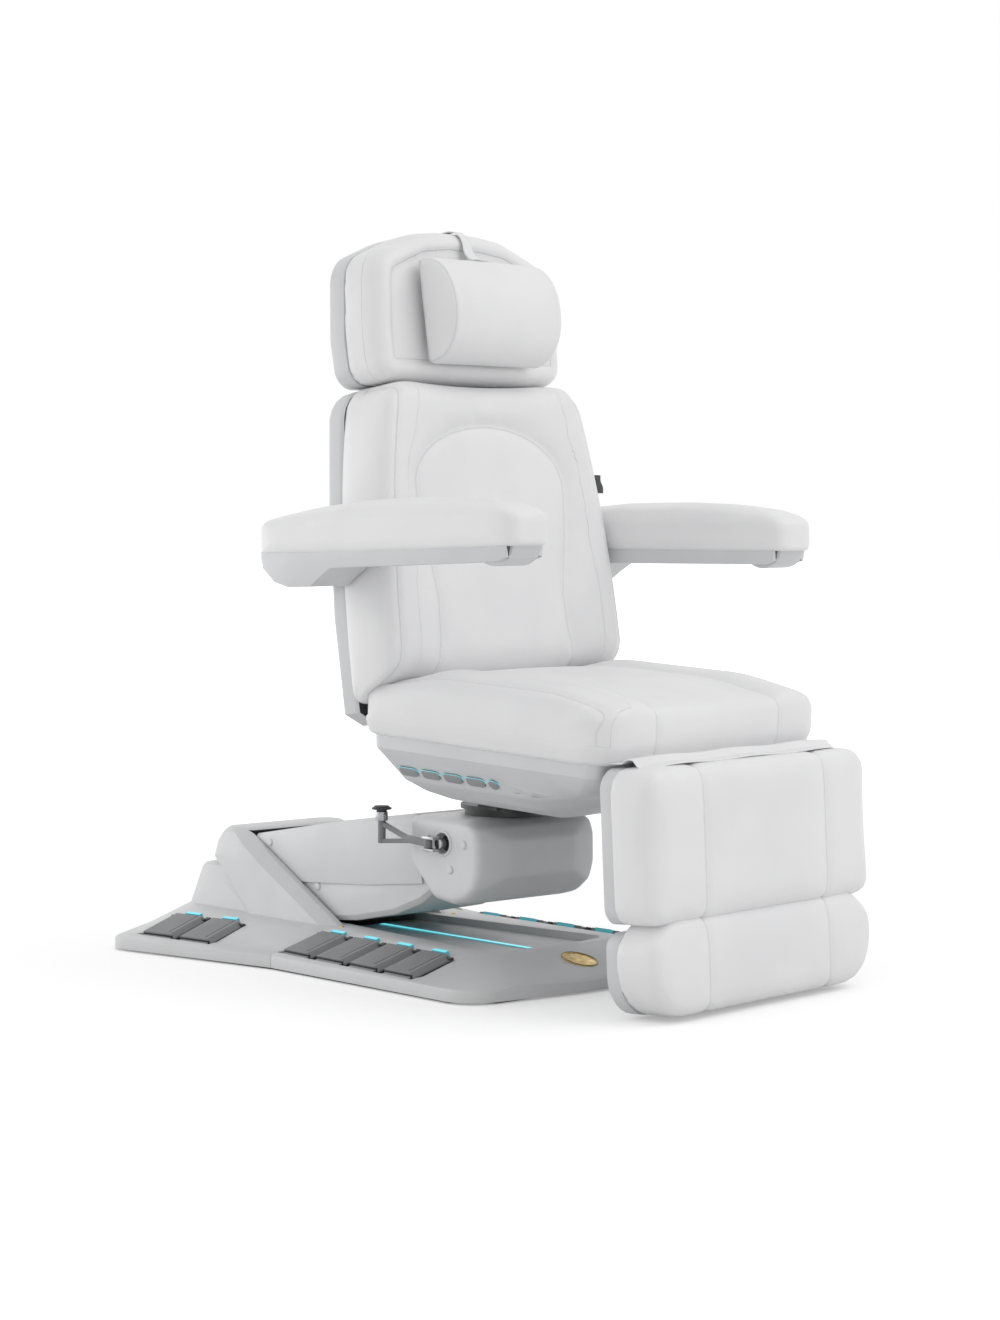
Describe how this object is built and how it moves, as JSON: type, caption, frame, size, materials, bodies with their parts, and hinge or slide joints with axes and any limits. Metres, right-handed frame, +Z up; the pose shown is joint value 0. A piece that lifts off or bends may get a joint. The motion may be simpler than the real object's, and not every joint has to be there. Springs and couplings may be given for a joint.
{
  "type": "pedicure spa chair",
  "caption": "Powered pedicure chair: padded seat, reclining back, headrest with neck pillow, armrests and leg rest on a swivel lift arm over a pedal base",
  "frame": {"origin": "on the floor, under the chair's swivel axis, in the underside plane of the steel base plate", "axes": "+Z up, +Y from the swivel axis to the base's rear hump, so the base's front and the sitter face -Y; +X is the sitter's left; the chair is turned 6.6 degrees anticlockwise on its base, seen from above"},
  "size_m": [0.9279, 1.6441, 1.4071],
  "materials": {
    "steel_parts": "satin",
    "base_shells": "satin",
    "chair_shells": "satin",
    "pedals": "satin",
    "black_parts": "matte",
    "lights": "satin",
    "buttons": "satin",
    "bright_parts": "polished",
    "bearing": "satin",
    "lever": "satin",
    "upholstery": "satin"
  },
  "bodies": {
    "base": {"base_plate": "steel_parts", "rear_base_cover": "base_shells", "front_base_cover": "base_shells", "tower_frame": "steel_parts", "control_box": "black_parts", "base_lights": "lights", "pedal_hinges": "black_parts"},
    "pedal_right_1_body": {"pedal_right_1": "pedals"},
    "pedal_right_2_body": {"pedal_right_2": "pedals"},
    "pedal_right_3_body": {"pedal_right_3": "pedals"},
    "pedal_right_4_body": {"pedal_right_4": "pedals"},
    "pedal_left_1_body": {"pedal_left_1": "pedals"},
    "pedal_left_2_body": {"pedal_left_2": "pedals"},
    "pedal_left_3_body": {"pedal_left_3": "pedals"},
    "pedal_left_4_body": {"pedal_left_4": "pedals"},
    "rear_pedal_right_1_body": {"rear_pedal_right_1": "pedals"},
    "rear_pedal_right_2_body": {"rear_pedal_right_2": "pedals"},
    "rear_pedal_left_1_body": {"rear_pedal_left_1": "pedals"},
    "rear_pedal_left_2_body": {"rear_pedal_left_2": "pedals"},
    "lift_motor_body": {"lift_motor": "black_parts"},
    "lift_rod_body": {"lift_rod": "bright_parts"},
    "upper_arm": {"upper_link": "steel_parts", "upper_arm_cover": "base_shells"},
    "lower_arm": {"lower_link": "steel_parts", "lower_arm_cover": "base_shells"},
    "head": {"head_block": "steel_parts", "head_housing": "base_shells", "swivel_bearing": "bearing"},
    "lever": {"lock_lever": "lever", "lever_fittings": "bright_parts"},
    "knob": {"lever_knob": "black_parts"},
    "turntable_body": {"turntable": "steel_parts"},
    "seat": {"seat_frame": "steel_parts", "seat_shell": "chair_shells", "seat_cushion": "upholstery", "seat_flap": "upholstery", "button_board": "lights"},
    "button_1_body": {"button_1": "buttons"},
    "button_2_body": {"button_2": "buttons"},
    "button_3_body": {"button_3": "buttons"},
    "button_4_body": {"button_4": "buttons"},
    "button_round_body": {"button_round": "buttons"},
    "back": {"back_frame": "black_parts", "back_shell": "chair_shells", "back_cushion": "upholstery"},
    "headrest": {"headrest_posts": "bright_parts", "headrest_shell": "chair_shells", "headrest_cushion": "upholstery", "neck_pillow": "upholstery", "pillow_strap": "upholstery"},
    "armrest_right": {"armrest_pad_right": "upholstery", "armrest_shell_right": "chair_shells"},
    "armrest_left": {"armrest_pad_left": "upholstery", "armrest_shell_left": "chair_shells"},
    "leg": {"leg_frame": "steel_parts", "leg_shell": "chair_shells", "leg_cushion": "upholstery"},
    "foot": {"foot_rails": "bright_parts", "foot_shell": "chair_shells", "foot_cushion": "upholstery"}
  },
  "joints": [
    {"name": "pedal_right_1_press", "type": "hinge", "parent": "base", "child": "pedal_right_1_body", "pos_m": [-0.20967, 0.26241, 0.05514], "axis": [-0.0384, -0.9993, 0], "range_deg": [0, 4], "stiffness_Nm_per_rad": 8, "springref_deg": -1.72},
    {"name": "pedal_right_2_press", "type": "hinge", "parent": "base", "child": "pedal_right_2_body", "pos_m": [-0.21371, 0.15749, 0.05514], "axis": [-0.0384, -0.9993, 0], "range_deg": [0, 4], "stiffness_Nm_per_rad": 8, "springref_deg": -1.72},
    {"name": "pedal_right_3_press", "type": "hinge", "parent": "base", "child": "pedal_right_3_body", "pos_m": [-0.21774, 0.05257, 0.05514], "axis": [-0.0384, -0.9993, 0], "range_deg": [0, 4], "stiffness_Nm_per_rad": 8, "springref_deg": -1.72},
    {"name": "pedal_right_4_press", "type": "hinge", "parent": "base", "child": "pedal_right_4_body", "pos_m": [-0.22177, -0.05236, 0.05514], "axis": [-0.0384, -0.9993, 0], "range_deg": [0, 4], "stiffness_Nm_per_rad": 8, "springref_deg": -1.72},
    {"name": "pedal_left_1_press", "type": "hinge", "parent": "base", "child": "pedal_left_1_body", "pos_m": [0.20967, 0.26241, 0.05514], "axis": [-0.0384, 0.9993, 0], "range_deg": [0, 4], "stiffness_Nm_per_rad": 8, "springref_deg": -1.72},
    {"name": "pedal_left_2_press", "type": "hinge", "parent": "base", "child": "pedal_left_2_body", "pos_m": [0.21371, 0.15749, 0.05514], "axis": [-0.0384, 0.9993, 0], "range_deg": [0, 4], "stiffness_Nm_per_rad": 8, "springref_deg": -1.72},
    {"name": "pedal_left_3_press", "type": "hinge", "parent": "base", "child": "pedal_left_3_body", "pos_m": [0.21774, 0.05257, 0.05514], "axis": [-0.0384, 0.9993, 0], "range_deg": [0, 4], "stiffness_Nm_per_rad": 8, "springref_deg": -1.72},
    {"name": "pedal_left_4_press", "type": "hinge", "parent": "base", "child": "pedal_left_4_body", "pos_m": [0.22177, -0.05236, 0.05514], "axis": [-0.0384, 0.9993, 0], "range_deg": [0, 4], "stiffness_Nm_per_rad": 8, "springref_deg": -1.72},
    {"name": "rear_pedal_right_1_press", "type": "hinge", "parent": "base", "child": "rear_pedal_right_1_body", "pos_m": [-0.26459, 0.65657, 0.05514], "axis": [0.134, -0.991, 0], "range_deg": [0, 4], "stiffness_Nm_per_rad": 8, "springref_deg": -1.72},
    {"name": "rear_pedal_right_2_press", "type": "hinge", "parent": "base", "child": "rear_pedal_right_2_body", "pos_m": [-0.25052, 0.55252, 0.05514], "axis": [0.134, -0.991, 0], "range_deg": [0, 4], "stiffness_Nm_per_rad": 8, "springref_deg": -1.72},
    {"name": "rear_pedal_left_1_press", "type": "hinge", "parent": "base", "child": "rear_pedal_left_1_body", "pos_m": [0.26459, 0.65657, 0.05514], "axis": [0.134, 0.991, 0], "range_deg": [0, 4], "stiffness_Nm_per_rad": 8, "springref_deg": -1.72},
    {"name": "rear_pedal_left_2_press", "type": "hinge", "parent": "base", "child": "rear_pedal_left_2_body", "pos_m": [0.25052, 0.55252, 0.05514], "axis": [0.134, 0.991, 0], "range_deg": [0, 4], "stiffness_Nm_per_rad": 8, "springref_deg": -1.72},
    {"name": "lift", "type": "hinge", "parent": "base", "child": "upper_arm", "pos_m": [0, 0.6, 0.18], "axis": [-1, 0, 0], "range_deg": [0, 36]},
    {"name": "lower_arm_swing", "type": "hinge", "parent": "base", "child": "lower_arm", "pos_m": [0, 0.6, 0.105], "axis": [-1, 0, 0], "range_deg": [0, 36]},
    {"name": "head_level", "type": "hinge", "parent": "upper_arm", "child": "head", "pos_m": [0, 0.03702, 0.26917], "axis": [1, 0, 0], "range_deg": [0, 36]},
    {"name": "motor_swing", "type": "hinge", "parent": "base", "child": "lift_motor_body", "pos_m": [0, 0.56, 0.05], "axis": [-1, 0, 0], "range_deg": [0, 30.9]},
    {"name": "rod_stroke", "type": "slide", "parent": "lift_motor_body", "child": "lift_rod_body", "axis": [0, -0.8715, 0.4903], "range_m": [0, 0.0754]},
    {"name": "swivel", "type": "hinge", "parent": "head", "child": "turntable_body", "pos_m": [0, 0, 0.312], "axis": [0, 0, 1], "range_deg": [-96, 83]},
    {"name": "seat_tilt", "type": "hinge", "parent": "turntable_body", "child": "seat", "pos_m": [0.00345, -0.0298, 0.388], "axis": [-0.9934, -0.1149, 0], "range_deg": [0, 15]},
    {"name": "recline", "type": "hinge", "parent": "seat", "child": "back", "pos_m": [-0.00862, 0.0745, 0.485], "axis": [-0.9934, -0.1149, 0], "range_deg": [0, 70]},
    {"name": "headrest_height", "type": "slide", "parent": "back", "child": "headrest", "axis": [-0.016, 0.1383, 0.9903], "range_m": [0, 0.08]},
    {"name": "armrest_right_lift", "type": "hinge", "parent": "back", "child": "armrest_right", "pos_m": [-0.01494, 0.12914, 0.772], "axis": [-0.9934, -0.1149, 0], "range_deg": [0, 80]},
    {"name": "armrest_left_lift", "type": "hinge", "parent": "back", "child": "armrest_left", "pos_m": [-0.01494, 0.12914, 0.772], "axis": [-0.9934, -0.1149, 0], "range_deg": [0, 80]},
    {"name": "leg_raise", "type": "hinge", "parent": "seat", "child": "leg", "pos_m": [0.06, -0.51854, 0.4245], "axis": [-0.9934, -0.1149, 0], "range_deg": [0, 80], "deforming": ["seat_flap"]},
    {"name": "foot_extend", "type": "slide", "parent": "leg", "child": "foot", "axis": [0.006, -0.052, -0.9986], "range_m": [0, 0.12]},
    {"name": "lock_lever_turn", "type": "hinge", "parent": "head", "child": "lever", "pos_m": [-0.151, 0.008, 0.253], "axis": [1, 0, 0], "range_deg": [0, 25]},
    {"name": "knob_pull", "type": "slide", "parent": "lever", "child": "knob", "axis": [0, 0, 1], "range_m": [0, 0.008], "stiffness_N_per_m": 600, "springref_m": -0.003},
    {"name": "button_1_press", "type": "slide", "parent": "seat", "child": "button_1_body", "axis": [0.7985, 0.0587, 0.5991], "range_m": [0, 0.0012], "stiffness_N_per_m": 900, "springref_m": -0.0012},
    {"name": "button_2_press", "type": "slide", "parent": "seat", "child": "button_2_body", "axis": [0.7985, 0.0587, 0.5991], "range_m": [0, 0.0012], "stiffness_N_per_m": 900, "springref_m": -0.0012},
    {"name": "button_3_press", "type": "slide", "parent": "seat", "child": "button_3_body", "axis": [0.7985, 0.0587, 0.5991], "range_m": [0, 0.0012], "stiffness_N_per_m": 900, "springref_m": -0.0012},
    {"name": "button_4_press", "type": "slide", "parent": "seat", "child": "button_4_body", "axis": [0.7985, 0.0587, 0.5991], "range_m": [0, 0.0012], "stiffness_N_per_m": 900, "springref_m": -0.0012},
    {"name": "button_round_press", "type": "slide", "parent": "seat", "child": "button_round_body", "axis": [0.7985, 0.0587, 0.5991], "range_m": [0, 0.0012], "stiffness_N_per_m": 900, "springref_m": -0.0012}
  ],
  "couplings": [
    {"joint": "lower_arm_swing", "follows": "lift", "ratio": 1},
    {"joint": "head_level", "follows": "lift", "ratio": 1},
    {"joint": "motor_swing", "follows": "lift", "ratio": 0.85373},
    {"joint": "rod_stroke", "follows": "lift", "m_per_rad": 0.11866}
  ]
}
